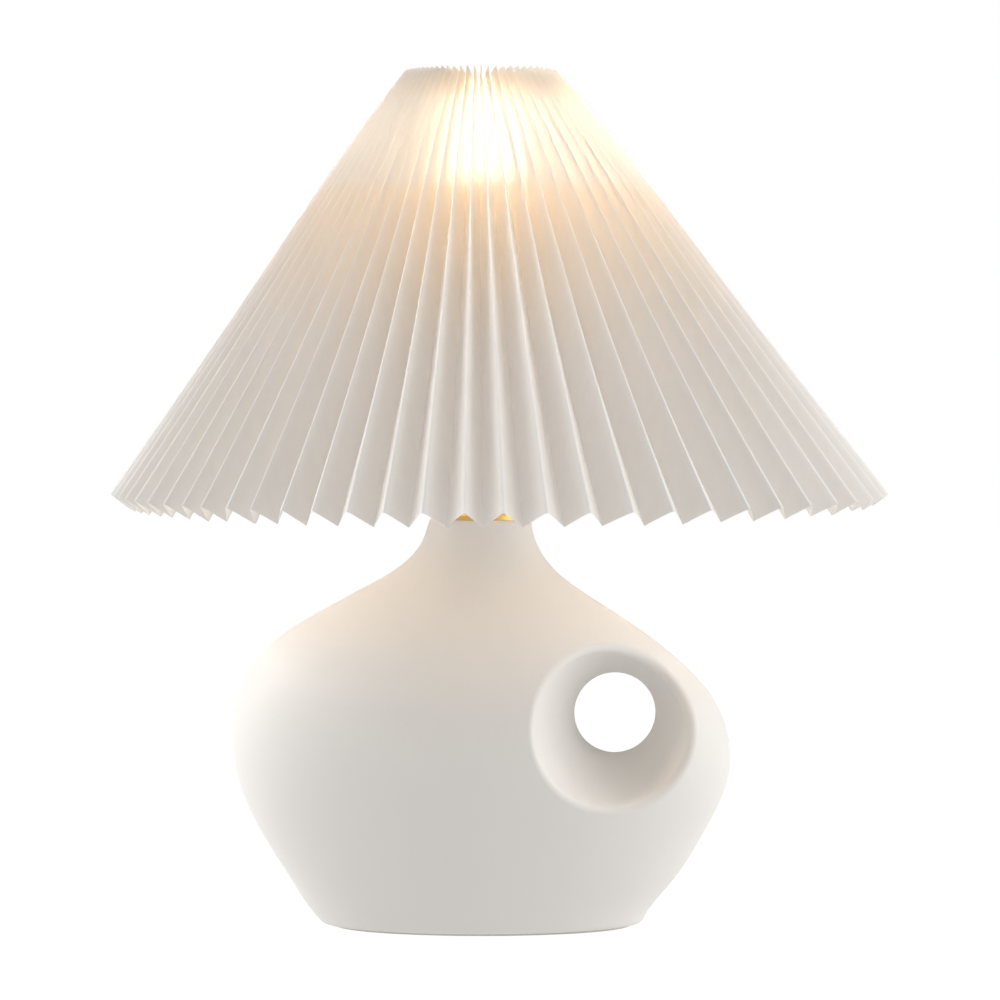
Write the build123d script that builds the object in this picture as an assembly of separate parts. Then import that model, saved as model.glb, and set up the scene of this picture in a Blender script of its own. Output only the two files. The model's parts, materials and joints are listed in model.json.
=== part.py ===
from build123d import *
from functools import partial
from math import cos, hypot, pi, sin, sqrt
import os

# Table lamp: a hollow ceramic body with a flared hole through it, brass fittings, a lampholder with
# its bulb, and a cone of pleated cloth on a wire frame.
# Millimetres, +Z up. The origin is the middle of the base, on the surface that the lamp stands on.
# -Y is the front of the lamp and +Y its back, where the cord leaves.

# Ceramic body: each row of the outline is one oval slice of the outer surface.
pad_thickness = 2.0
neck_top = 267.0
neck_radius = 33.0
body_outline = [
    # height, reach to the left, reach to the right, half depth
    (pad_thickness, 103.5, 105.5, 45.0),
    (30.0, 124.0, 125.5, 58.0),
    (60.0, 142.5, 144.5, 72.0),
    (90.0, 156.5, 159.0, 84.0),
    (112.0, 161.8, 162.8, 89.5),
    (132.0, 162.6, 159.5, 91.0),
    (152.0, 158.8, 149.8, 88.5),
    (172.0, 148.5, 131.5, 81.0),
    (190.0, 131.0, 109.5, 71.0),
    (205.0, 107.0, 87.5, 61.0),
    (220.0, 79.5, 64.5, 50.5),
    (236.0, 52.5, 45.5, 41.0),
    (252.0, 38.3, 35.6, 35.0),
    (neck_top, neck_radius, neck_radius, neck_radius),
]
body_wall = 6.0
shoulder_drop = 4.0
foot_ring_wall = 9.0
foot_recess_depth = 18.0
floor_thickness = 8.0
foot_edge_radius = 5.0
neck_edge_radius = 2.0
pad_inset = 8.0

# Flared hole from front to back. Each half is one curve that leaves the throat along the axis,
# turns outwards at the flare and runs on past the body, so the body's surface cuts the lip.
hole_x = 87.3
hole_height = 140.0
throat_radius = 26.4
flare_depth = 30.0
flare_radius = 56.0
lip_depth = 110.0
lip_radius = 54.0
lip_round = 4.5

# Cord exit in the back of the foot ring.
cord_hole_radius = 5.0
cord_bore_radius = 3.5
cord_hole_height = 12.0
bush_flange_radius = 7.0
bush_flange_thickness = 2.0
bush_seat_gap = 0.3

# Threaded pipe through the middle, and what clamps the body on it.
pipe_radius = 4.8
pipe_bore_radius = 3.5
pipe_clearance = 0.1
pipe_tail = 4.0
pipe_end = 2.0
gasket_radius = 17.0
gasket_thickness = 1.5
washer_radius = 16.0
washer_thickness = 1.5
lock_washer_radius = 8.5
lock_washer_thickness = 1.0
nut_across_flats = 14.0
nut_thickness = 4.0

# Brass cap on the neck and the tube that carries the lampholder.
cap_radius = 29.5
cap_rim_height = 3.0
cap_height = 7.0
cap_boss_radius = 11.0
cap_wall = 1.2
cap_spigot_depth = 5.0
neck_bore_depth = 8.0
neck_bore_ledge = 1.0
cap_spigot_clearance = 0.3
tube_radius = 8.0
tube_wall = 1.5
tube_length = 106.0
collar_radius = 11.0
collar_height = 4.0
collar_hollow = 5.0

# Lampholder, from its cup up to the mouth of its threaded sleeve.
holder_cup_height = 20.0
holder_cup_wall = 1.2
holder_cup_bend = 10.0
sleeve_radius = 19.4
sleeve_wall = 1.6
sleeve_length = 48.0
sleeve_flange_radius = 23.0
sleeve_flange_height = 24.0
sleeve_flange_thickness = 2.0
liner_clearance = 0.2
liner_floor_height = 18.0
shell_radius = 14.1
shell_wall = 0.5
shell_seat_width = 5.0
shell_top_gap = 3.0
contact_radius = 4.0
contact_thickness = 1.2

# Rotary switch in the lampholder, with its knob on the right.
switch_height = 9.5
switch_width = 14.0
switch_depth = 12.0
switch_tall = 11.0
shaft_radius = 2.4
shaft_clearance = 0.06
shaft_inner_end = 3.0
shaft_hole_radius = 3.4
knob_gap = 1.0
knob_radius = 5.5
knob_length = 15.0
knob_grip_depth = 9.0
knob_flute_count = 8
knob_flute_radius = 0.8
terminal_radius = 1.8
terminal_head_radius = 2.9
terminal_head_height = 1.8
terminal_length = 5.0
terminal_spacing = 20.0

# Threaded ring that clamps the shade's fitter ring on the flange of the sleeve.
running_clearance = 0.3
fitter_radius = 30.0
fitter_thickness = 2.4
shade_ring_radius = 25.0
shade_ring_height = 9.0
shade_ring_notch_count = 16
shade_ring_notch_radius = 1.2

# Bulb.
bulb_thread_radius = 13.2
bulb_thread_length = 24.0
bulb_tip_radius = 3.6
bulb_tip_length = 2.2
bulb_insulator_radius = 9.0
bulb_insulator_length = 2.0
bulb_neck_length = 32.0
bulb_neck_flute = 60.0
bulb_radius = 30.0
bulb_belt_height = 17.0
bulb_wall = 1.0

# Pleated shade. Ridges are the outer folds and valleys the inner ones. The ends are cut square to
# the pleats, and the hem hangs a little to the right of the top.
pleat_count = 64
pleat_width = 19.0
shade_top_radius = 49.0
shade_hem_radius = 251.3
shade_height = 271.6
shade_rise = 128.0
hem_shift = 12.0
cloth_in_at_hem = 0.8
cloth_in_at_top = 2.4
section_count = 16

# Wire frame of the shade: a top ring on four arms that rise from the fitter ring.
top_wire_radius = 1.6
arm_wire_radius = 1.2
arm_inset = 1.5
arm_bulb_gap = 2.4
arm_count = 4
top_ring_drop = 20.0
top_ring_gap = 1.2

# Heights that follow from the sizes above.
foot_roof = pad_thickness + foot_recess_depth
floor_top = foot_roof + floor_thickness
neck_bore_bottom = neck_top - neck_bore_depth
cap_top = neck_top + cap_height
collar_top = cap_top + collar_height
holder_bottom = collar_top + tube_length
sleeve_bottom = holder_bottom + holder_cup_height
sleeve_top = sleeve_bottom + sleeve_length
flange_top = sleeve_bottom + sleeve_flange_height
liner_floor = sleeve_bottom + liner_floor_height
liner_radius = sleeve_radius - sleeve_wall - liner_clearance
shell_bottom = liner_floor + contact_thickness
shell_top = sleeve_top - shell_top_gap
bulb_tip = shell_bottom + running_clearance
bulb_thread_bottom = bulb_tip + bulb_tip_length + bulb_insulator_length
bulb_neck_bottom = bulb_thread_bottom + bulb_thread_length
bulb_dome_bottom = bulb_neck_bottom + bulb_neck_length
bulb_centre = bulb_dome_bottom + bulb_belt_height
fitter_bottom = flange_top + running_clearance
fitter_top = fitter_bottom + fitter_thickness
shade_ring_bottom = fitter_top + running_clearance
shade_top = flange_top + shade_rise
top_ring_height = shade_top - top_ring_drop
switch_axis = sleeve_bottom + switch_height
knob_start = sleeve_flange_radius + knob_gap
nut_bottom = foot_roof - gasket_thickness - washer_thickness - lock_washer_thickness - nut_thickness
pipe_bottom = nut_bottom - pipe_tail
pipe_top = holder_bottom + holder_cup_wall + nut_thickness + pipe_end


def turned(*outline):
    """A solid turned about Z from a closed outline of (radius, height) points."""
    return revolve(Plane.XZ * make_face(Polyline(*outline, close=True)), Axis.Z)


def tube(outer, inner, bottom, top):
    """A plain tube or washer on the Z axis."""
    return turned((inner, bottom), (outer, bottom), (outer, top), (inner, top))


def cylinder_z(radius, bottom, top):
    """A plain pin on the axis of the lamp."""
    return Pos(0, 0, bottom) * extrude(Circle(radius), top - bottom)


def cylinder_x(radius, start, end, height):
    """A plain pin along X at a height on the axis of the lamp."""
    return Pos(start, 0, height) * Rot(0, 90, 0) * extrude(Circle(radius), end - start)


def cylinder_y(radius, start, end, height):
    """A plain pin along Y at a height on the axis of the lamp."""
    return Pos(0, start, height) * Rot(-90, 0, 0) * extrude(Circle(radius), end - start)


def oval(height, left, right, half_depth):
    """One slice of the body, which reaches further to one side than to the other."""
    return Pos((right - left) / 2, 0, height) * Ellipse((left + right) / 2, half_depth)


def outline_at(height):
    """Left reach, right reach and half depth of the body at a height, between two rows."""
    rows = list(zip(body_outline, body_outline[1:]))
    low, high = next((a, b) for a, b in rows if height <= b[0])
    share = (height - low[0]) / (high[0] - low[0])
    return [a + share * (b - a) for a, b in zip(low[1:], high[1:])]


bush_seat = outline_at(cord_hole_height - bush_flange_radius)[2]
bush_inner_end = outline_at(pad_thickness)[2] - foot_ring_wall - bush_flange_thickness
bush_outer_end = bush_seat + bush_flange_thickness


def hole_solid(wall):
    """The flared hole as a solid, with its radii grown by the wall of its tube."""
    control = [
        (0, throat_radius + wall),
        (flare_depth, throat_radius + wall),
        (flare_depth, flare_radius + wall),
        (lip_depth, lip_radius + wall),
    ]
    front = Bezier(*control)
    back = Bezier(*[(-depth, radius) for depth, radius in control])
    ends = Polyline(back @ 1, (-lip_depth, 0), (lip_depth, 0), front @ 1)
    solid = revolve(make_face(front + back + ends), Axis.X)
    return Pos(hole_x, 0, hole_height) * Rot(0, 0, 90) * solid


def body_cavity():
    """The hollow inside of the body, from its floor up through the neck, round the hole's tube."""
    belly_height = max(body_outline, key=lambda row: row[3])[0]
    rows = [(floor_top, *outline_at(floor_top))]
    for height, *reach in body_outline:
        drop = shoulder_drop if height > belly_height else 0
        if floor_top + body_wall < height - drop < neck_bore_bottom - body_wall:
            rows.append((height - drop, *reach))
    rows.append((neck_bore_bottom + neck_bore_ledge, *[neck_radius - neck_bore_ledge] * 3))
    slices = [oval(height, *[size - body_wall for size in reach]) for height, *reach in rows]
    return loft(slices) - hole_solid(body_wall)


def ceramic_body():
    """Slip-cast shell, open at the neck, with a floor over the foot recess and the flared hole."""
    body = loft([oval(*row) for row in body_outline])
    by_height = body.edges().sort_by(Axis.Z)
    body = fillet(by_height[0], foot_edge_radius)
    body = fillet(body.edges().sort_by(Axis.Z)[-1], neck_edge_radius)
    solid_edges = body.edges()
    body -= hole_solid(0)
    reach = 2 * throat_radius
    body = fillet([e for e in body.edges() - solid_edges if e.bounding_box().size.Z > reach], lip_round)
    body -= body_cavity()
    left, right, half_depth = [size - foot_ring_wall for size in outline_at(pad_thickness)]
    body -= extrude(oval(0, left, right, half_depth), foot_roof)
    body -= cylinder_z(pipe_radius + pipe_clearance, 0, floor_top + body_wall)
    body -= cylinder_z(neck_radius - body_wall, neck_bore_bottom, neck_top)
    body -= cylinder_y(cord_hole_radius, 0, lip_depth, cord_hole_height)
    body -= cylinder_y(bush_flange_radius + bush_seat_gap, bush_seat, lip_depth, cord_hole_height)
    return body


def base_pad():
    """Felt pad glued under the foot ring, which closes the recess."""
    left, right, half_depth = [size - pad_inset for size in outline_at(pad_thickness)]
    return extrude(oval(0, left, right, half_depth), pad_thickness)


def cord_bush():
    """Flanged bush for the cord, in a flat-bottomed seat in the back of the foot ring."""
    bush = cylinder_y(cord_hole_radius, bush_inner_end, bush_outer_end, cord_hole_height)
    bush += cylinder_y(bush_flange_radius, bush_seat, bush_outer_end, cord_hole_height)
    return bush - cylinder_y(cord_bore_radius, bush_inner_end, bush_outer_end, cord_hole_height)


def lamp_pipe():
    """Threaded pipe from the foot recess up into the lampholder."""
    return tube(pipe_radius, pipe_bore_radius, pipe_bottom, pipe_top)


def base_gasket():
    top = foot_roof
    return tube(gasket_radius, pipe_radius + pipe_clearance, top - gasket_thickness, top)


def base_washer():
    top = foot_roof - gasket_thickness
    return tube(washer_radius, pipe_radius + pipe_clearance, top - washer_thickness, top)


def base_lock_washer():
    top = nut_bottom + nut_thickness + lock_washer_thickness
    return tube(lock_washer_radius, pipe_radius + pipe_clearance, top - lock_washer_thickness, top)


def hexagon_nut(bottom):
    """Nut for the threaded pipe, lying at a height."""
    hexagon = RegularPolygon(nut_across_flats / 2, 6, major_radius=False)
    nut = Pos(0, 0, bottom) * extrude(hexagon, nut_thickness)
    return nut - cylinder_z(pipe_radius + pipe_clearance, bottom, bottom + nut_thickness)


def base_nut():
    """Nut that pulls the pipe and all it carries down on the body."""
    return hexagon_nut(nut_bottom)


def neck_cap():
    """Spun brass cap on the mouth of the neck, domed up to a flat boss, with a centring spigot."""
    bore = pipe_radius + pipe_clearance
    spigot = neck_radius - body_wall - cap_spigot_clearance
    inside = cap_top - cap_wall
    outer = Polyline((cap_radius, neck_top), (cap_radius, neck_top + cap_rim_height))
    dome = Bezier(
        (cap_radius, neck_top + cap_rim_height),
        (cap_radius - cap_boss_radius / 2, cap_top),
        (cap_boss_radius, cap_top),
    )
    under = Polyline(
        (cap_boss_radius, cap_top),
        (bore, cap_top),
        (bore, inside),
        (cap_boss_radius, inside),
        (spigot - cap_wall, neck_top + cap_wall),
        (spigot - cap_wall, neck_top - cap_spigot_depth),
        (spigot, neck_top - cap_spigot_depth),
        (spigot, neck_top),
        (cap_radius, neck_top),
    )
    return revolve(Plane.XZ * make_face(outer + dome + under), Axis.Z)


def neck_collar():
    """Small turned collar with a hollow side, between the cap and the tube."""
    bore = pipe_radius + pipe_clearance
    foot = (collar_radius, cap_top)
    head = (tube_radius, collar_top)
    rest = Polyline(head, (bore, collar_top), (bore, cap_top), foot)
    return revolve(Plane.XZ * make_face(RadiusArc(foot, head, -collar_hollow) + rest), Axis.Z)


def riser_tube():
    """Plain brass tube that holds the lampholder up in the shade."""
    return tube(tube_radius, tube_radius - tube_wall, collar_top, holder_bottom)


def holder_cup():
    """Round-bottomed cup under the lampholder, with a hole that the pipe passes through."""
    cup = cylinder_z(sleeve_radius, holder_bottom, sleeve_bottom)
    cup = fillet(cup.edges().sort_by(Axis.Z)[0], holder_cup_bend)
    hollow = cylinder_z(sleeve_radius - holder_cup_wall, holder_bottom + holder_cup_wall, sleeve_bottom)
    cup -= fillet(hollow.edges().sort_by(Axis.Z)[0], holder_cup_bend - holder_cup_wall)
    return cup - cylinder_z(pipe_radius + pipe_clearance, holder_bottom, sleeve_bottom)


def holder_locknut():
    """Nut inside the cup that clamps it on the pipe."""
    return hexagon_nut(holder_bottom + holder_cup_wall)


def holder_sleeve():
    """Outer sleeve of the lampholder: a flange for the shade, and a thread above it for the ring."""
    inner = sleeve_radius - sleeve_wall
    sleeve = tube(sleeve_radius, inner, sleeve_bottom, sleeve_top)
    sleeve += tube(sleeve_flange_radius, inner, flange_top - sleeve_flange_thickness, flange_top)
    return sleeve - cylinder_x(shaft_hole_radius, 0, sleeve_flange_radius, switch_axis)


def holder_liner():
    """Insulating body in the sleeve: the switch sits in a slot below, the screw shell in a bore above."""
    liner = cylinder_z(liner_radius, sleeve_bottom, shell_top)
    liner -= cylinder_z(shell_radius, shell_bottom, shell_top)
    liner -= cylinder_z(contact_radius, liner_floor, shell_bottom)
    slot = Box(switch_width, switch_depth, switch_tall, align=(Align.CENTER, Align.CENTER, Align.MIN))
    liner -= Pos(0, 0, sleeve_bottom) * slot
    for side in (-1, 1):
        y = side * terminal_spacing / 2
        liner -= Pos(0, y, 0) * cylinder_z(terminal_radius, sleeve_bottom, sleeve_bottom + terminal_length)
    return liner - cylinder_x(shaft_hole_radius, 0, liner_radius, switch_axis)


def switch_block():
    """Rotary switch under the contact, with a bearing for the shaft of the knob."""
    block = Box(switch_width, switch_depth, switch_tall, align=(Align.CENTER, Align.CENTER, Align.MIN))
    block = Pos(0, 0, sleeve_bottom) * block
    return block - cylinder_x(shaft_radius + shaft_clearance, shaft_inner_end, switch_width, switch_axis)


def terminal_screws():
    """The two screws that the cord's wires are clamped under."""
    top = sleeve_bottom + terminal_length
    screw = cylinder_z(terminal_radius, sleeve_bottom, top)
    screw += cylinder_z(terminal_head_radius, sleeve_bottom - terminal_head_height, sleeve_bottom)
    return [Pos(0, side * terminal_spacing / 2, 0) * screw for side in (-1, 1)]


def screw_shell():
    """Thin metal shell that the bulb's thread turns into, with an inward rim at its foot."""
    shell = tube(shell_radius, shell_radius - shell_wall, shell_bottom, shell_top)
    rim = tube(shell_radius, shell_radius - shell_seat_width, shell_bottom, shell_bottom + shell_wall)
    return shell + rim


def centre_contact():
    return cylinder_z(contact_radius, liner_floor, shell_bottom)


def switch_shaft():
    """Shaft of the knob, from inside the switch out through the side of the lampholder."""
    start = shaft_inner_end + running_clearance
    return cylinder_x(shaft_radius, start, knob_start + knob_grip_depth, switch_axis)


def switch_knob():
    """Fluted knob on the end of the shaft."""
    knob = Cylinder(knob_radius, knob_length, align=(Align.CENTER, Align.CENTER, Align.MIN))
    knob = chamfer(knob.edges().sort_by(Axis.Z)[-1], knob_flute_radius)
    flute = Cylinder(knob_flute_radius, knob_length, align=(Align.CENTER, Align.CENTER, Align.MIN))
    for turn in range(knob_flute_count):
        knob -= Rot(0, 0, turn * 360 / knob_flute_count) * Pos(knob_radius, 0, 0) * flute
    knob -= Cylinder(shaft_radius, knob_grip_depth, align=(Align.CENTER, Align.CENTER, Align.MIN))
    return Pos(knob_start, 0, switch_axis) * Rot(0, 90, 0) * knob


def shade_ring():
    """Threaded ring with finger notches, turned down on the fitter ring."""
    inner = sleeve_radius + running_clearance
    top = shade_ring_bottom + shade_ring_height
    ring = tube(shade_ring_radius, inner, shade_ring_bottom, top)
    for turn in range(shade_ring_notch_count):
        angle = turn * 360 / shade_ring_notch_count
        notch = Pos(shade_ring_radius, 0, 0) * cylinder_z(shade_ring_notch_radius, shade_ring_bottom, top)
        ring -= Rot(0, 0, angle) * notch
    return ring


def bulb_contact():
    return cylinder_z(bulb_tip_radius, bulb_tip, bulb_tip + bulb_tip_length)


def bulb_insulator():
    """Black cone between the bulb's tip and its thread."""
    low = bulb_tip + bulb_tip_length
    top = bulb_thread_bottom
    return turned((0, low), (bulb_tip_radius, low), (bulb_insulator_radius, top), (0, top))


def bulb_thread():
    return tube(bulb_thread_radius, bulb_thread_radius - shell_wall, bulb_thread_bottom, bulb_neck_bottom)


def bulb_neck():
    """Flared housing between the thread and the dome, with a stem that fills the thread."""
    core = bulb_thread_radius - shell_wall
    foot = (bulb_thread_radius + bulb_wall, bulb_neck_bottom)
    head = (sqrt(bulb_radius**2 - bulb_belt_height**2), bulb_dome_bottom)
    rest = Polyline(
        head,
        (0, bulb_dome_bottom),
        (0, bulb_thread_bottom),
        (core, bulb_thread_bottom),
        (core, bulb_neck_bottom),
        foot,
    )
    return revolve(Plane.XZ * make_face(RadiusArc(foot, head, bulb_neck_flute) + rest), Axis.Z)


def bulb_dome():
    """Hollow round diffuser of the bulb, open where it meets the housing."""
    dome = Sphere(bulb_radius) - Sphere(bulb_radius - bulb_wall)
    return Pos(0, 0, bulb_centre) * dome - cylinder_z(2 * bulb_radius, bulb_tip, bulb_dome_bottom)


def shade_fitter():
    """Flat ring that lies on the flange of the sleeve and carries the wires of the frame."""
    return tube(fitter_radius, sleeve_radius + running_clearance, fitter_bottom, fitter_top)


def top_ring_radius():
    """Radius of the wire ring that fits inside the valleys of the cloth."""
    return valley_radius_at(top_ring_height) - cloth_in_at_top - top_ring_gap - top_wire_radius


def shade_arm(turn):
    """Wire that stands on the fitter ring, goes out round the bulb and ends under the top ring."""
    stations = [
        (fitter_radius - arm_inset, fitter_top),
        (bulb_radius + arm_bulb_gap + arm_wire_radius, bulb_centre),
        (top_ring_radius(), top_ring_height - top_wire_radius),
    ]
    circles = [Pos(radius, 0, height) * Circle(arm_wire_radius) for radius, height in stations]
    return Rot(0, 0, turn) * loft(circles, ruled=True)


def shade_top_ring():
    return Pos(0, 0, top_ring_height) * Torus(top_ring_radius(), top_wire_radius)


def shade_slope():
    """Inwards and downwards parts of a unit step square to the slant of the shade."""
    run = shade_hem_radius - shade_top_radius
    slant = hypot(run, shade_height)
    return shade_height / slant, run / slant


def fold_depth(ridge_radius):
    """How deep the pleats lie at a ridge radius, from the width of a panel and the pitch."""
    half_pitch = ridge_radius * sin(pi / pleat_count)
    return sqrt(pleat_width**2 - half_pitch**2)


def valley_ends():
    """Radius and height of a valley at the hem and at the top."""
    inwards, down = shade_slope()
    hem = fold_depth(shade_hem_radius)
    top = fold_depth(shade_top_radius)
    hem_end = (shade_hem_radius - hem * inwards, shade_top - shade_height - hem * down)
    top_end = (shade_top_radius - top * inwards, shade_top - top * down)
    return hem_end, top_end


def valley_radius_at(height):
    (hem_radius, hem_height), (top_radius, top_height) = valley_ends()
    return top_radius + (top_height - height) * (hem_radius - top_radius) / (top_height - hem_height)


def fold_line(index, inner):
    """Hem end and top end of one fold: even ones are ridges, odd ones valleys."""
    angle = pi * index / pleat_count
    if index % 2:
        ends = valley_ends()
    else:
        ends = ((shade_hem_radius, shade_top - shade_height), (shade_top_radius, shade_top))
    inset = (cloth_in_at_hem, cloth_in_at_top) if inner else (0, 0)
    shift = (hem_shift, 0)
    return [
        Vector((radius - step) * cos(angle) + side, (radius - step) * sin(angle), height)
        for (radius, height), step, side in zip(ends, inset, shift)
    ]


def strip(one, other):
    """Twisted face between two lines of two points each."""
    return Face.make_bezier_surface([list(one), list(other)])


def cloth_section(first, last):
    """The cloth between two ridges as a thin solid: two skins of twisted panels, closed all round."""
    lines = [(fold_line(index, False), fold_line(index, True)) for index in range(first, last + 1)]
    faces = [strip(*reversed(lines[0])), strip(*lines[-1])]
    for (outer, inner), (next_outer, next_inner) in zip(lines, lines[1:]):
        faces += [strip(outer, next_outer), strip(next_inner, inner)]
        hem, top = (((outer[end], next_outer[end]), (inner[end], next_inner[end])) for end in (0, 1))
        faces += [strip(*hem), strip(*reversed(top))]
    return Solid(Shell(faces))


def pleated_shade():
    """The cloth in sections that meet at ridges, so that each is a simple curved strip."""
    marks = [2 * round(pleat_count * number / section_count) for number in range(section_count + 1)]
    return [cloth_section(first, last) for first, last in zip(marks, marks[1:])]


pieces = {
    "base_pad": base_pad,
    "ceramic_body": ceramic_body,
    "cord_bush": cord_bush,
    "lamp_pipe": lamp_pipe,
    "base_gasket": base_gasket,
    "base_washer": base_washer,
    "base_lock_washer": base_lock_washer,
    "base_nut": base_nut,
    "neck_cap": neck_cap,
    "neck_collar": neck_collar,
    "riser_tube": riser_tube,
    "holder_cup": holder_cup,
    "holder_locknut": holder_locknut,
    "holder_sleeve": holder_sleeve,
    "holder_liner": holder_liner,
    "switch_block": switch_block,
    "terminal_screws": terminal_screws,
    "screw_shell": screw_shell,
    "centre_contact": centre_contact,
    "switch_shaft": switch_shaft,
    "switch_knob": switch_knob,
    "shade_ring": shade_ring,
    "bulb_contact": bulb_contact,
    "bulb_insulator": bulb_insulator,
    "bulb_thread": bulb_thread,
    "bulb_neck": bulb_neck,
    "bulb_dome": bulb_dome,
    "shade_fitter": shade_fitter,
    "shade_top_ring": shade_top_ring,
    "pleated_shade": pleated_shade,
}
for number in range(arm_count):
    turn = (number + 0.5) * 360 / arm_count
    pieces[f"shade_arm_{number + 1}"] = partial(shade_arm, turn)

os.makedirs("parts", exist_ok=True)
for name, make in pieces.items():
    piece = make()
    if isinstance(piece, list):
        piece = Compound(children=piece)
    export_step(piece, f"parts/{name}.step")
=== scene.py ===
# %% [markdown]
# # A ceramic table lamp with a pleated shade
#
# The lamp's hard pieces were made in CAD, at their real size. This lesson gives each of them its finish,
# folds the cloth of the shade from a formula, lights the bulb, and sets the camera and the studio.
# Everything is in metres, with +Z up, and the lamp stands on z = 0 with its neck over the origin.

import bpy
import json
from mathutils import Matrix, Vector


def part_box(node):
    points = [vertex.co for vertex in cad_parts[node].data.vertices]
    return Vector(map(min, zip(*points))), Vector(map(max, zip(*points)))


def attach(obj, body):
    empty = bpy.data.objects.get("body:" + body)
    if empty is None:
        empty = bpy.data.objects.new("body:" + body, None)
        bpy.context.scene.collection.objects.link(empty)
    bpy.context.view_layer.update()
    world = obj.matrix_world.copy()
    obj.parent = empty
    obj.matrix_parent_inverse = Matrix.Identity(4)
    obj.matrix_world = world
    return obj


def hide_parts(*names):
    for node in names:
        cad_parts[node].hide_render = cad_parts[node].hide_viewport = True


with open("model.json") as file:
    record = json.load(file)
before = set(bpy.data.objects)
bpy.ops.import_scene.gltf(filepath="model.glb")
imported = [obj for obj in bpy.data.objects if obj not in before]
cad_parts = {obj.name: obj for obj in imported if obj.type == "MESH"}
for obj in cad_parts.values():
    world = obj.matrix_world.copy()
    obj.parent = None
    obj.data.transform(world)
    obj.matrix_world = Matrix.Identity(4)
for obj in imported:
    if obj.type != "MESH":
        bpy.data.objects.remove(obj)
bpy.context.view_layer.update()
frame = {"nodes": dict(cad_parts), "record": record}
nodes = frame["nodes"]

# %% The other modules
import json
from math import pi, radians

import bpy
import numpy as np
from mathutils import Vector

scene = bpy.context.scene

# %% [markdown]
# ## Shader sums as plain Python
#
# A finish is a sum of patterns. Wiring each sum by hand hides it, so `Wire` holds one output of a node
# and turns +, -, * and / into Math nodes. `Finish` is one material, or the sky, and its `add` makes any
# other node from a type, its settings and what its sockets get.


# %% A wire
class Wire:
    """One output of a node, which can be added to, multiplied and so on."""

    def __init__(self, finish, socket):
        self.finish = finish
        self.socket = socket

    def sum_with(self, operation, first, second):
        return self.finish.add("Math", {"operation": operation}, {0: first, 1: second})

    def __add__(self, other):
        return self.sum_with("ADD", self, other)

    __radd__ = __add__

    def __sub__(self, other):
        return self.sum_with("SUBTRACT", self, other)

    def __rsub__(self, other):
        return self.sum_with("SUBTRACT", other, self)

    def __mul__(self, other):
        return self.sum_with("MULTIPLY", self, other)

    __rmul__ = __mul__

    def __truediv__(self, other):
        return self.sum_with("DIVIDE", self, other)


# %% A finish
class Finish:
    """The nodes of a new material, or of an owner such as a world."""

    def __init__(self, name, owner=None):
        self.owner = owner or bpy.data.materials.new(name)
        self.owner.use_nodes = True
        self.tree = self.owner.node_tree
        self.tree.nodes.clear()

    def add(self, kind, settings=None, inputs=None, output=0):
        """A node, which gets its settings first and then numbers, colours or wires in its sockets."""
        node = self.tree.nodes.new("ShaderNode" + kind)
        for name, value in (settings or {}).items():
            setattr(node, name, value)
        for name, value in (inputs or {}).items():
            if isinstance(value, Wire):
                self.tree.links.new(value.socket, node.inputs[name])
            elif isinstance(value, tuple) and node.inputs[name].type == "RGBA":
                node.inputs[name].default_value = (*value, 1.0)
            else:
                node.inputs[name].default_value = value
        return Wire(self, node.outputs[output]) if node.outputs else node

    def place(self, stretch=(1.0, 1.0, 1.0)):
        """The piece's own coordinates in metres, stretched along each axis."""
        where = self.add("TexCoord", output="Object")
        return self.add("Mapping", None, {"Vector": where, "Scale": stretch})

    def noise(self, size, where=None, detail=3.0, roughness=0.55):
        """Soft random spots of about a size in metres, from 0 to 1."""
        look = {"Scale": 1 / size, "Detail": detail, "Roughness": roughness}
        return self.add("TexNoise", None, {"Vector": where or self.place(), **look})

    def between(self, amount, low, high):
        """An amount from 0 to 1 carried to a range."""
        return amount * (high - low) + low

    def step(self, amount, start, end):
        """0 below start, 1 above end and smooth between them."""
        settings = {"interpolation_type": "SMOOTHSTEP"}
        return self.add("MapRange", settings, {"Value": amount, "From Min": start, "From Max": end})

    def mix(self, share, first, second):
        """Two colours mixed by a share. A Mix node takes its colours in sockets 6 and 7."""
        inputs = {"Factor": share, 6: first, 7: second}
        return self.add("Mix", {"data_type": "RGBA"}, inputs, output=2)

    def bump(self, height, strength, distance, after=None):
        """A normal that follows a height, on top of the one given."""
        inputs = {"Height": height, "Strength": strength, "Distance": distance}
        if after:
            inputs["Normal"] = after
        return self.add("Bump", None, inputs)

    def surface(self, **inputs):
        """The main shader, with its sockets named in small letters and underscores."""
        sockets = {name.replace("_", " ").title(): value for name, value in inputs.items()}
        return self.add("BsdfPrincipled", None, sockets)

    def done(self, shader, kind="OutputMaterial"):
        """The owner, once the shader is on its output."""
        self.add(kind, None, {"Surface": shader})
        return self.owner


# %% [markdown]
# ## The ceramic
#
# The body is slip-cast and has a matt, faintly gritty coat. Three patterns make it: broad warm and cool
# clouds from an uneven coat, fine grit that breaks the surface up, and a slow unevenness left by the
# sponge that smoothed the clay. None of them is strong, because the photograph shows an even white.


# %% Ceramic finish
def ceramic():
    """Clouds 9 cm wide and grit about 1 mm wide on a warm white, with the marks of the sponge."""
    finish = Finish("ceramic")
    clouds = finish.noise(size=0.09, detail=2.0)
    grit = finish.noise(size=0.0011, detail=4.0, roughness=0.7)
    sponge = finish.noise(size=0.016, detail=3.0)
    specks = finish.step(grit, start=0.62, end=0.78) * 0.22
    colour = finish.mix(clouds, (0.815, 0.797, 0.770), (0.855, 0.842, 0.820))
    colour = finish.mix(specks, colour, (0.66, 0.63, 0.58))
    rough = finish.between(sponge, low=0.52, high=0.66)
    normal = finish.bump(sponge, strength=0.10, distance=0.0008)
    normal = finish.bump(grit, strength=0.22, distance=0.0002, after=normal)
    return finish.done(finish.surface(base_color=colour, roughness=rough, normal=normal))


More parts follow.
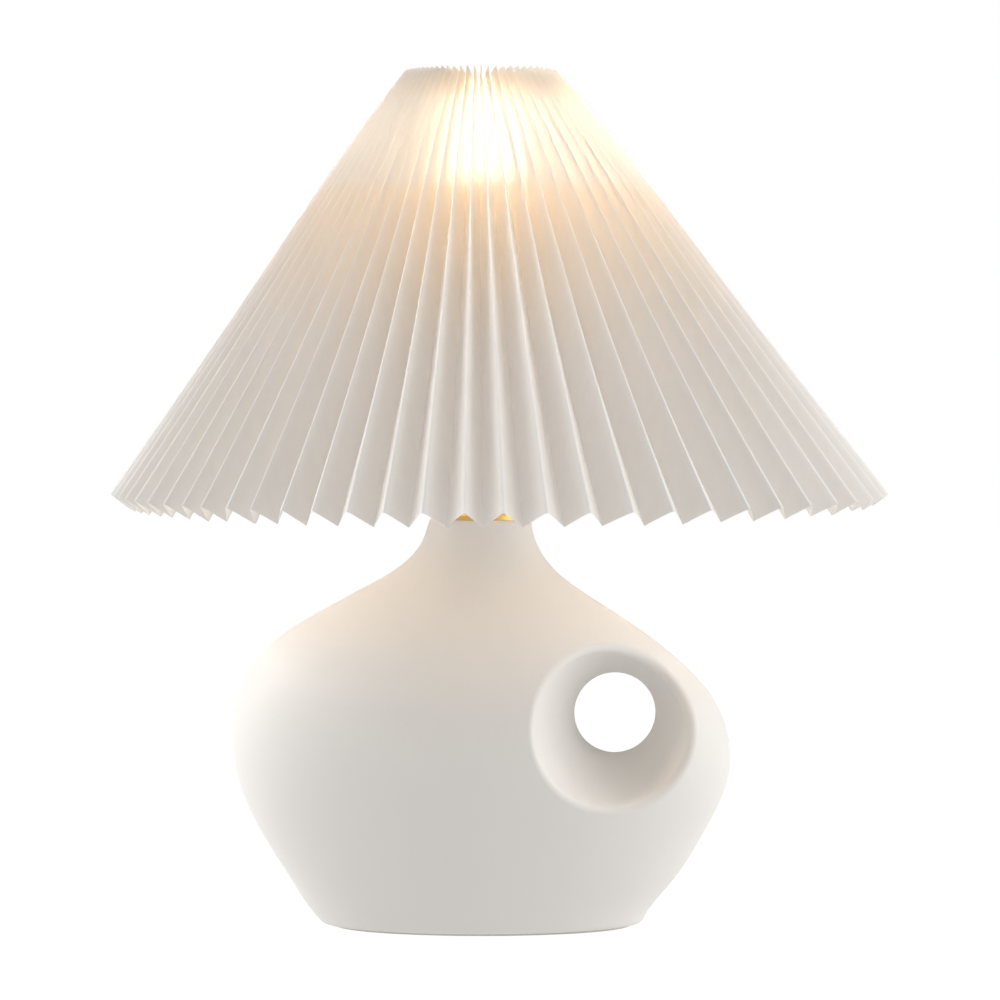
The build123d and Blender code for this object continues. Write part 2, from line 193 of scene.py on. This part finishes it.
# %% [markdown]
# ## Brass
#
# The cap on the neck, the collar, the tube and the cup are spun or turned, so their marks run round the
# axis. Stretching the noise along X and Y and keeping it fine along Z gives such rings on upright walls.
# Where hands have been, the metal is darker and duller.


# %% Brass finish
def brass(name, tint, rough_least):
    """A tint that darkens by a quarter and dulls where hands have been, with fine turned rings."""
    finish = Finish(name)
    rings = finish.noise(size=0.0006, where=finish.place((0.02, 0.02, 1.0)), detail=2.0)
    handled = finish.noise(size=0.02, detail=3.0)
    dark = tuple(0.72 * part for part in tint)
    colour = finish.mix(finish.step(handled, start=0.35, end=0.75), tint, dark)
    rough = finish.between(handled, low=rough_least, high=rough_least + 0.14)
    normal = finish.bump(rings, strength=0.15, distance=0.0001)
    shader = finish.surface(base_color=colour, metallic=1.0, roughness=rough, normal=normal)
    return finish.done(shader)


# %% [markdown]
# ## Steel, plastic, felt and rubber
#
# These small parts show from below, from above and when the lamp is taken apart. Zinc has soft grey
# patches, moulded plastic a fine even orange-peel, felt short crossed fibres, and rubber a dull bloom.


# %% Zinc-plated steel
def zinc_steel():
    """Grey patches 4 mm wide, the lighter ones duller."""
    finish = Finish("zinc_steel")
    patches = finish.noise(size=0.004, detail=4.0)
    colour = finish.mix(patches, (0.50, 0.51, 0.52), (0.70, 0.70, 0.69))
    rough = finish.between(patches, low=0.28, high=0.46)
    return finish.done(finish.surface(base_color=colour, metallic=1.0, roughness=rough))


# %% Moulded plastic, painted wire and rubber
def moulded(name, dark, light, rough_least, grain, strength):
    """Fine orange-peel of a grain in metres, under dust that lightens and dulls it."""
    finish = Finish(name)
    peel = finish.noise(size=grain, detail=2.0)
    dust = finish.noise(size=0.012, detail=4.0)
    colour = finish.mix(finish.step(dust, start=0.3, end=0.8), dark, light)
    rough = finish.between(dust, low=rough_least, high=rough_least + 0.12)
    normal = finish.bump(peel, strength=strength, distance=0.0002)
    return finish.done(finish.surface(base_color=colour, roughness=rough, normal=normal))


# %% Felt
FIBRE = 0.0008


def felt():
    """The mean of two noises, one stretched along X and one along Y, as crossed fibres."""
    finish = Finish("felt")
    across = finish.noise(size=FIBRE, where=finish.place((1.0, 0.2, 1.0)), detail=4.0, roughness=0.7)
    along = finish.noise(size=FIBRE, where=finish.place((0.2, 1.0, 1.0)), detail=4.0, roughness=0.7)
    fibres = (across + along) / 2
    lightness = finish.step(fibres, start=0.3, end=0.7)
    colour = finish.mix(lightness, (0.55, 0.53, 0.49), (0.74, 0.72, 0.68))
    normal = finish.bump(fibres, strength=0.8, distance=0.0006)
    shader = finish.surface(base_color=colour, roughness=0.95, sheen_weight=0.3, normal=normal)
    return finish.done(shader)


# %% [markdown]
# ## The lit bulb
#
# The dome is frosted, so it glows by itself rather than showing a filament. The glow is a little redder
# near the housing, where the light inside has further to go.

# %% Glowing dome
BULB_STRENGTH = 95.0
RED_HEIGHT = 0.012
bulb_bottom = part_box("bulb_dome")[0].z


def bulb_diffuser():
    """A glow that turns from red to warm white over the lowest 12 mm, with fine frost."""
    finish = Finish("bulb_diffuser")
    frost = finish.noise(size=0.0007, detail=2.0)
    height = finish.add("SeparateXYZ", None, {"Vector": finish.place()}, output="Z")
    upper = finish.step(height, bulb_bottom, bulb_bottom + RED_HEIGHT)
    colour = finish.mix(upper, (1.0, 0.62, 0.34), (1.0, 0.84, 0.62))
    colour = finish.mix(frost * 0.2, colour, (1.0, 0.88, 0.70))
    glow = {"emission_color": colour, "emission_strength": BULB_STRENGTH}
    return finish.done(finish.surface(base_color=(0.9, 0.86, 0.78), roughness=0.5, **glow))


# %% [markdown]
# ## Give every CAD piece its finish
#
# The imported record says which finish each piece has. The table below goes by the record's names and not
# by the materials' own, because a new material whose name is already taken gets a number behind it. The
# brasses share one maker, and so do the plastics, the wire and the rubber. The CAD's plain shade gets no
# finish, because folded cloth takes its place further down.

# %% Turned metals: tint and least roughness
turned = {
    "brass": ((0.74, 0.49, 0.15), 0.24),
    "contact_brass": ((0.80, 0.66, 0.38), 0.30),
    "bulb_nickel": ((0.74, 0.72, 0.68), 0.16),
}

# %% Mouldings: darkest and lightest colour, least roughness, grain in metres, strength of the grain
mouldings = {
    "bush_plastic": ((0.74, 0.72, 0.68), (0.80, 0.78, 0.74), 0.38, 0.0010, 0.20),
    "gasket_rubber": ((0.020, 0.020, 0.020), (0.05, 0.05, 0.05), 0.70, 0.0006, 0.40),
    "holder_plastic": ((0.030, 0.029, 0.028), (0.05, 0.05, 0.05), 0.30, 0.0010, 0.20),
    "ring_plastic": ((0.035, 0.034, 0.033), (0.06, 0.06, 0.06), 0.38, 0.0010, 0.25),
    "bulb_housing": ((0.80, 0.79, 0.77), (0.86, 0.85, 0.83), 0.30, 0.0014, 0.15),
    "white_wire": ((0.76, 0.75, 0.73), (0.84, 0.83, 0.81), 0.35, 0.0012, 0.30),
}

# %% Finishes by slot
finishes = {"ceramic": ceramic(), "felt": felt(), "zinc_steel": zinc_steel()}
finishes["bulb_diffuser"] = bulb_diffuser()
finishes |= {slot: brass(slot, *values) for slot, values in turned.items()}
finishes |= {slot: moulded(slot, *values) for slot, values in mouldings.items()}
slot_of = {part["node"]: part["material_slot"] for part in frame["record"]["subparts"]}
dressed = [name for name in nodes if slot_of[name] in finishes]
for name in dressed:
    nodes[name].data.materials.clear()
    nodes[name].data.materials.append(finishes[slot_of[name]])
print(len(finishes), "finishes on", len(dressed), "of", len(nodes), "pieces")
print("left for the cloth:", sorted(set(nodes) - set(dressed)))

# %% [markdown]
# ## Where the folds stand
#
# The shade is one strip of backed cloth, pressed into narrow pleats and drawn together at the top. Hands
# spread the pleats, so they aren't even: in the photograph they stand closer on the left and wider on the
# right. An even angle gets a slow wave for that, and each fold a small random step of its own at the hem.

# %% Angles of the folds
PLEATS = 64
FOLDS = 2 * PLEATS
FIRST_FOLD = 0.295
WIDER_RIGHT = 0.19
CLOSER_FRONT = 0.07
STRAY = 0.0035
SEED = 11

even = (np.arange(FOLDS) + FIRST_FOLD) * pi / PLEATS
top_angles = even - WIDER_RIGHT * np.cos(even) - CLOSER_FRONT * np.sin(even) - pi / 2
hem_angles = top_angles + np.random.default_rng(SEED).normal(0, STRAY, FOLDS)
pitches = (np.roll(hem_angles, -1) - np.roll(hem_angles, 1)) % (2 * pi)
print(f"{PLEATS} pleats of {np.degrees(pitches.min()):.1f} to {np.degrees(pitches.max()):.1f} degrees")

# %% [markdown]
# ## The shape of a pleat
#
# Each panel between two folds is about 19 mm wide at the hem and at the top, so the folds have to lie
# shallow where the pleats are wide and deep where they are narrow. A right-angled triangle says how
# deep: its long side is the panel, one short side is half the pitch and the other is the depth. The fold
# lines between the ends are straight, which leaves a panel about 1 mm narrower half-way up. That is
# simpler than real cloth, which keeps its width and lets its folds curve.
#
# Seen from the end, the outer fold is rounded, because stiff cloth won't take a sharp bend over its own
# backing, and the inner fold is pressed sharp. A hyperbola does this: it starts level at the ridge and
# runs into a straight line.

# %% Sizes of the cloth
shade_low, shade_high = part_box("pleated_shade")
PANEL_WIDTH = 0.019
TOP_RADIUS = 0.049
RIDGE_DROP = 0.2716
HEM_RADIUS = (shade_high.x - shade_low.x) / 2
HEM_SHIFT = (shade_high.x + shade_low.x) / 2
SKIN = 0.0002
ROUNDING = 0.11
BULGE = 0.0028
LEVEL_TOP = 0.016

run = HEM_RADIUS - TOP_RADIUS
slant = np.hypot(run, RIDGE_DROP)
print(f"the panels are {PANEL_WIDTH * 1000:.0f} mm wide and {slant * 1000:.0f} mm long")


# %% Ends of the fold lines
def fold_end(angles, radius, height, shift):
    """Ends of all folds on one edge: ridges on a circle, valleys deeper by what the panel's width leaves.

    The edge is cut square to the folds, so a valley's end lies both further in and lower than a ridge's.
    """
    half_pitch = ((np.roll(angles, -1) - np.roll(angles, 1)) % (2 * pi)) / 2
    depth = np.sqrt(PANEL_WIDTH**2 - (radius * np.sin(half_pitch)) ** 2)
    depth = np.where(np.arange(FOLDS) % 2, depth, 0)
    reach = radius - depth * RIDGE_DROP / slant
    drop = depth * run / slant
    return np.stack([reach * np.cos(angles) + shift, reach * np.sin(angles), height - drop], -1)


# %% The cloth at any fold and rise
def cloth_points(inset, folds, rises):
    """The cloth on a grid of fold numbers, whole on folds, and rises from 0 at the hem to 1 at the top.

    A fold line runs straight from its hem end to its top end, and a valley's a little past it, because the
    top is cut more level than square. Across a panel the way from ridge to valley is even along the
    circle, and in depth it follows the hyperbola. The whole cone bulges a little, most at four fifths of
    its height, because the stiff cloth is drawn in to the ring above that.
    """
    hem = fold_end(hem_angles, HEM_RADIUS - inset, shade_high.z - RIDGE_DROP, HEM_SHIFT)
    top = fold_end(top_angles, TOP_RADIUS - inset, shade_high.z, 0.0)
    along = rises[:, None] * (1 + LEVEL_TOP * (np.arange(FOLDS) % 2))
    lines = hem * (1 - along[..., None]) + top * along[..., None]
    before = np.floor(folds).astype(int)
    share = (folds - before)[:, None]
    from_ridge = np.where(before[:, None] % 2, 1 - share, share)
    deep = np.hypot(from_ridge, ROUNDING) - ROUNDING
    deep = deep / (np.hypot(1, ROUNDING) - ROUNDING)
    ridge = lines[:, (before + before % 2) % FOLDS]
    valley = lines[:, (before + 1 - before % 2) % FOLDS]
    middle = np.stack([HEM_SHIFT * (1 - rises), 0 * rises, 0 * rises], -1)[:, None]
    points = ridge * (1 - deep) + valley * deep
    spread = ridge * (1 - from_ridge) + valley * from_ridge
    turn = np.arctan2(spread[..., 1], spread[..., 0] - middle[..., 0])
    reach = np.hypot(points[..., 0] - middle[..., 0], points[..., 1])
    reach = reach + BULGE * np.sin(pi * rises[:, None] ** 3)
    return np.stack([reach * np.cos(turn) + middle[..., 0], reach * np.sin(turn), points[..., 2]], -1)


# %% [markdown]
# ## A grid as a mesh
#
# The strip closes round the lamp, so its last column of faces runs back to the first column of corners.
# The fold number and the rise stay with the mesh as its UV map, for the pattern of the cloth.


# %% Mesh of a closed strip
def strip_mesh(name, points, folds, rises):
    """A closed strip whose corners are a grid of points, one row for each rise."""
    rows, columns = points.shape[:2]
    numbers = np.arange(rows * columns).reshape(rows, columns)
    right = np.roll(numbers, -1, 1)
    quads = np.stack([numbers[:-1], right[:-1], right[1:], numbers[1:]], -1).reshape(-1, 4)
    mesh = bpy.data.meshes.new(name)
    mesh.from_pydata(points.reshape(-1, 3).tolist(), [], quads.tolist())
    next_folds = np.append(folds[1:], FOLDS)
    u, v = np.meshgrid(folds, rises[:-1])
    next_u, next_v = np.meshgrid(next_folds, rises[1:])
    corner_u = np.stack([u, next_u, next_u, u], -1)
    corner_v = np.stack([v, v, next_v, next_v], -1)
    layer = mesh.uv_layers.new(name="UVMap")
    layer.data.foreach_set("uv", np.stack([corner_u, corner_v], -1).astype(np.float32).ravel())
    mesh.update()
    piece = bpy.data.objects.new(name, mesh)
    scene.collection.objects.link(piece)
    return piece


# %% Fold the strip, with the corners closest together at the ridges, where the cloth is round
PANEL_SHARES = np.array([0.0, 0.04, 0.09, 0.16, 0.26, 0.42, 0.68])
RISE_STEPS = 40

towards_ridge = 1 - np.append(PANEL_SHARES[1:], 1.0)[::-1]
pleat = np.concatenate([PANEL_SHARES, 1 + towards_ridge])
folds = (2 * np.arange(PLEATS)[:, None] + pleat).ravel()
rises = np.linspace(0, 1, RISE_STEPS + 1)
cloth = strip_mesh("shade_cloth", cloth_points(SKIN, folds, rises), folds, rises)

# %% [markdown]
# ## Cloth that lets light through
#
# Shade cloth scatters light to both sides. A diffuse surface gives the side that faces the studio and
# a translucent one the warm light of the bulb, and a factor mixes them. On the ridges the cloth is
# painted whiter, a painted highlight that leaves the panels towards the valleys as painted shade, and
# there it lets through less, which gives the pale line on each fold.
#
# In the photograph the glow ends below in a sharp line, level with the rim of the bulb, and nothing shows
# why. Here it is made as the top edge of a backing. Cloth and backing scatter nearly the same share of
# the light. What changes at the line is that above it a little light passes straight, which shows the
# bulb as a bright core, and that below it the light turns yellower the nearer it is to the line. These
# shares were set until the brightness came near the photograph's.
#
# At the very top the edge is turned in and glued, so a band two centimetres wide is a little yellower.
# The weave is two sets of threads that only show close up.

# %% Patterns along the cloth: heights and widths in metres, folds in shares of a panel
THREAD = 0.0009
CREASE_HIGHLIGHT = (0.015, 0.075)
SHOULDER = (0.03, 0.34)
BACKING_TOP = 0.4785
BACKING_EDGE = 0.0045
YELLOWER_GLOW_HEIGHTS = (0.36, 0.475)
BAND_WIDTH = 0.0235
BAND_START = 1 - BAND_WIDTH / slant
BAND_EDGE = 0.002

# %% Shares of the light
BACKED = 0.26
UNBACKED = 0.25
SLUBS = 0.05
LOST_ON_RIDGES = 0.45
STRAIGHT = 0.0045
BAND_YELLOW = 0.6


# %% Cloth finish
def shade_cloth():
    """A diffuse side and a light side mixed by the shares, and a little that is let straight through.

    Crease and shoulder are 1 on a ridge and fall to 0 a narrow and a wide way off it. Bare is 1 above
    the backing, and double is 1 in the turned-in band.
    """
    finish = Finish("shade_cloth")
    strip = finish.add("UVMap", {"uv_map": "UVMap"})
    fold = finish.add("SeparateXYZ", None, {"Vector": strip}, output="X")
    rise = finish.add("SeparateXYZ", None, {"Vector": strip}, output="Y")
    height = finish.add("SeparateXYZ", None, {"Vector": finish.place()}, output="Z")
    to_ridge = finish.add("Math", {"operation": "PINGPONG"}, {0: fold, 1: 1.0})
    crease_highlight = 1 - finish.step(to_ridge, *CREASE_HIGHLIGHT)
    shoulder = 1 - finish.step(to_ridge, *SHOULDER)
    bare = finish.step(height, BACKING_TOP - BACKING_EDGE, BACKING_TOP + BACKING_EDGE)
    double = finish.step(rise, BAND_START - BAND_EDGE, BAND_START + BAND_EDGE)
    threads_up = finish.add("Math", {"operation": "SINE"}, {0: fold * (2 * pi * PANEL_WIDTH / THREAD)})
    threads_round = finish.add("Math", {"operation": "SINE"}, {0: rise * (2 * pi * slant / THREAD)})
    weave = threads_up * threads_round
    slub = finish.noise(size=0.006, where=finish.place((1.0, 1.0, 0.15)), detail=4.0)
    colour = finish.mix(slub, (0.80, 0.785, 0.765), (0.86, 0.85, 0.835))
    # Painted highlight: the cloth is whiter a wide and a narrow way off each ridge, which leaves the
    # valleys as painted shade.
    colour = finish.mix(shoulder * 0.5, colour, (0.93, 0.925, 0.915))
    colour = finish.mix(crease_highlight * 0.9, colour, (0.96, 0.955, 0.95))
    relief = weave * 0.5 + slub + double * 2.0
    normal = finish.bump(relief, strength=0.12, distance=0.0003)
    cloth_side = finish.surface(base_color=colour, roughness=0.85, sheen_weight=0.15, normal=normal)
    pale = finish.add("BsdfTranslucent", None, {"Color": (0.95, 0.905, 0.865), "Normal": normal})
    warm = finish.add("BsdfTranslucent", None, {"Color": (0.98, 0.85, 0.69), "Normal": normal})
    # Painted warm glow: below the backing's edge the light side turns from pale to warm towards the line.
    # The turned-in band is a little yellower as well.
    glow_and_band_yellow = finish.step(height, *YELLOWER_GLOW_HEIGHTS) * (1 - bare) + double * BAND_YELLOW
    light_side = finish.add("MixShader", None, {0: glow_and_band_yellow, 1: pale, 2: warm})
    scattered = finish.between(bare, BACKED, UNBACKED) + slub * SLUBS
    scattered = scattered * (1 - shoulder * LOST_ON_RIDGES)
    both = finish.add("MixShader", None, {0: scattered, 1: cloth_side, 2: light_side})
    through = finish.add("BsdfTransparent", None, {"Color": (1.0, 0.97, 0.90)})
    straight = bare * (1 - shoulder) * STRAIGHT
    return finish.done(finish.add("MixShader", None, {0: straight, 1: both, 2: through}))


# %% Put the cloth on the shade
cloth.data.materials.append(shade_cloth())
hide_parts("pleated_shade")
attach(cloth, "shade")

# %% [markdown]
# ## Studio
#
# The photograph has a white ground with no shadow to speak of, edges brighter than the middle, and a
# soft warm light under the shade from the bulb itself. So the light comes from the sides: the sky is
# bright there and dim in front, and two wide lamps add to it. A white ground would light the lamp from
# below and is kept from doing so, and the lower half of the sky, a half brighter, does it instead. Seen
# by the camera itself, the sky is plain white. The strengths were set against the photograph.

# %% Floor
FLOOR_SIZE = 12.0
FLOOR_GLOW = 0.84
corners = np.array([(-1, -1, 0), (1, -1, 0), (1, 1, 0), (-1, 1, 0)]) * FLOOR_SIZE / 2
floor_mesh = bpy.data.meshes.new("floor")
floor_mesh.from_pydata(corners.tolist(), [], [(0, 1, 2, 3)])
floor = bpy.data.objects.new("floor", floor_mesh)
scene.collection.objects.link(floor)
paper = Finish("paper")
grain = paper.noise(size=0.3, detail=2.0)
paper_colour = paper.mix(grain, (0.27, 0.27, 0.27), (0.30, 0.30, 0.30))
glow = {"emission_color": (1.0, 1.0, 1.0), "emission_strength": FLOOR_GLOW}
floor_mesh.materials.append(paper.done(paper.surface(base_color=paper_colour, roughness=0.9, **glow)))
floor.visible_diffuse = False

# %% Sky
FRONT_LIGHT = 0.43
SIDE_LIGHT = 0.83
SIDE_START = 0.35
LIGHT_FROM_BELOW = 1.48
FULLY_BELOW = -0.3
WARM = (1.0, 0.975, 0.945)

studio = Finish("studio", bpy.data.worlds.new("studio"))
direction = studio.add("TexCoord", output="Generated")
sideways = studio.add("SeparateXYZ", None, {"Vector": direction}, output="X")
upwards = studio.add("SeparateXYZ", None, {"Vector": direction}, output="Z")
sideways = studio.add("Math", {"operation": "ABSOLUTE"}, {0: sideways})
to_sides = {"From Min": SIDE_START, "To Min": FRONT_LIGHT, "To Max": SIDE_LIGHT}
round_light = studio.add(
    "MapRange", {"interpolation_type": "SMOOTHSTEP"}, {"Value": sideways, **to_sides}
)
to_below = {"From Min": FULLY_BELOW, "From Max": 0.0, "To Min": LIGHT_FROM_BELOW, "To Max": 1.0}
below_light = studio.add("MapRange", None, {"Value": upwards, **to_below})
sky = studio.add("Background", None, {"Color": WARM, "Strength": round_light * below_light})
plain = studio.add("Background", None, {"Color": (1.0, 1.0, 1.0)})
seen = studio.add("LightPath", output="Is Camera Ray")
ground = studio.add("MixShader", None, {0: seen, 1: sky, 2: plain})
scene.world = studio.done(ground, "OutputWorld")

# %% Side lamps
LAMP_SIZE = 1.6
LAMP_TARGET = Vector((0.0, 0.0, 0.25))


def soft_lamp(name, place, power):
    """A wide square lamp at a place in metres, with a power in watts, turned to the object's middle."""
    light = bpy.data.lights.new(name, "AREA")
    light.size = LAMP_SIZE
    light.energy = power
    lamp = bpy.data.objects.new(name, light)
    scene.collection.objects.link(lamp)
    lamp.location = place
    lamp.rotation_mode = "QUATERNION"
    lamp.rotation_quaternion = (LAMP_TARGET - lamp.location).to_track_quat("-Z", "Y")


soft_lamp("left_lamp", place=(-2.0, 0.1, 1.1), power=29.0)
soft_lamp("right_lamp", place=(2.1, -0.4, 0.9), power=22.0)

# %% [markdown]
# ## Camera
#
# The view was fitted to the photograph: about two metres away, a little under the middle of the shade,
# looking three degrees down through a long lens.

# %% Camera
CAMERA_SIDE = 0.0123
CAMERA_BACK = 1.9483
CAMERA_HEIGHT = 0.3826
CAMERA_PITCH = 3.05
CAMERA_LENS = 108.0
CAMERA_SENSOR = 36.0
camera_data = bpy.data.cameras.new("camera")
camera_data.lens = CAMERA_LENS
camera_data.sensor_width = CAMERA_SENSOR
camera = bpy.data.objects.new("camera", camera_data)
scene.collection.objects.link(camera)
camera.location = (CAMERA_SIDE, -CAMERA_BACK, CAMERA_HEIGHT)
camera.rotation_euler = (radians(90 - CAMERA_PITCH), 0, 0)
scene.camera = camera
scene.view_settings.view_transform = "Standard"
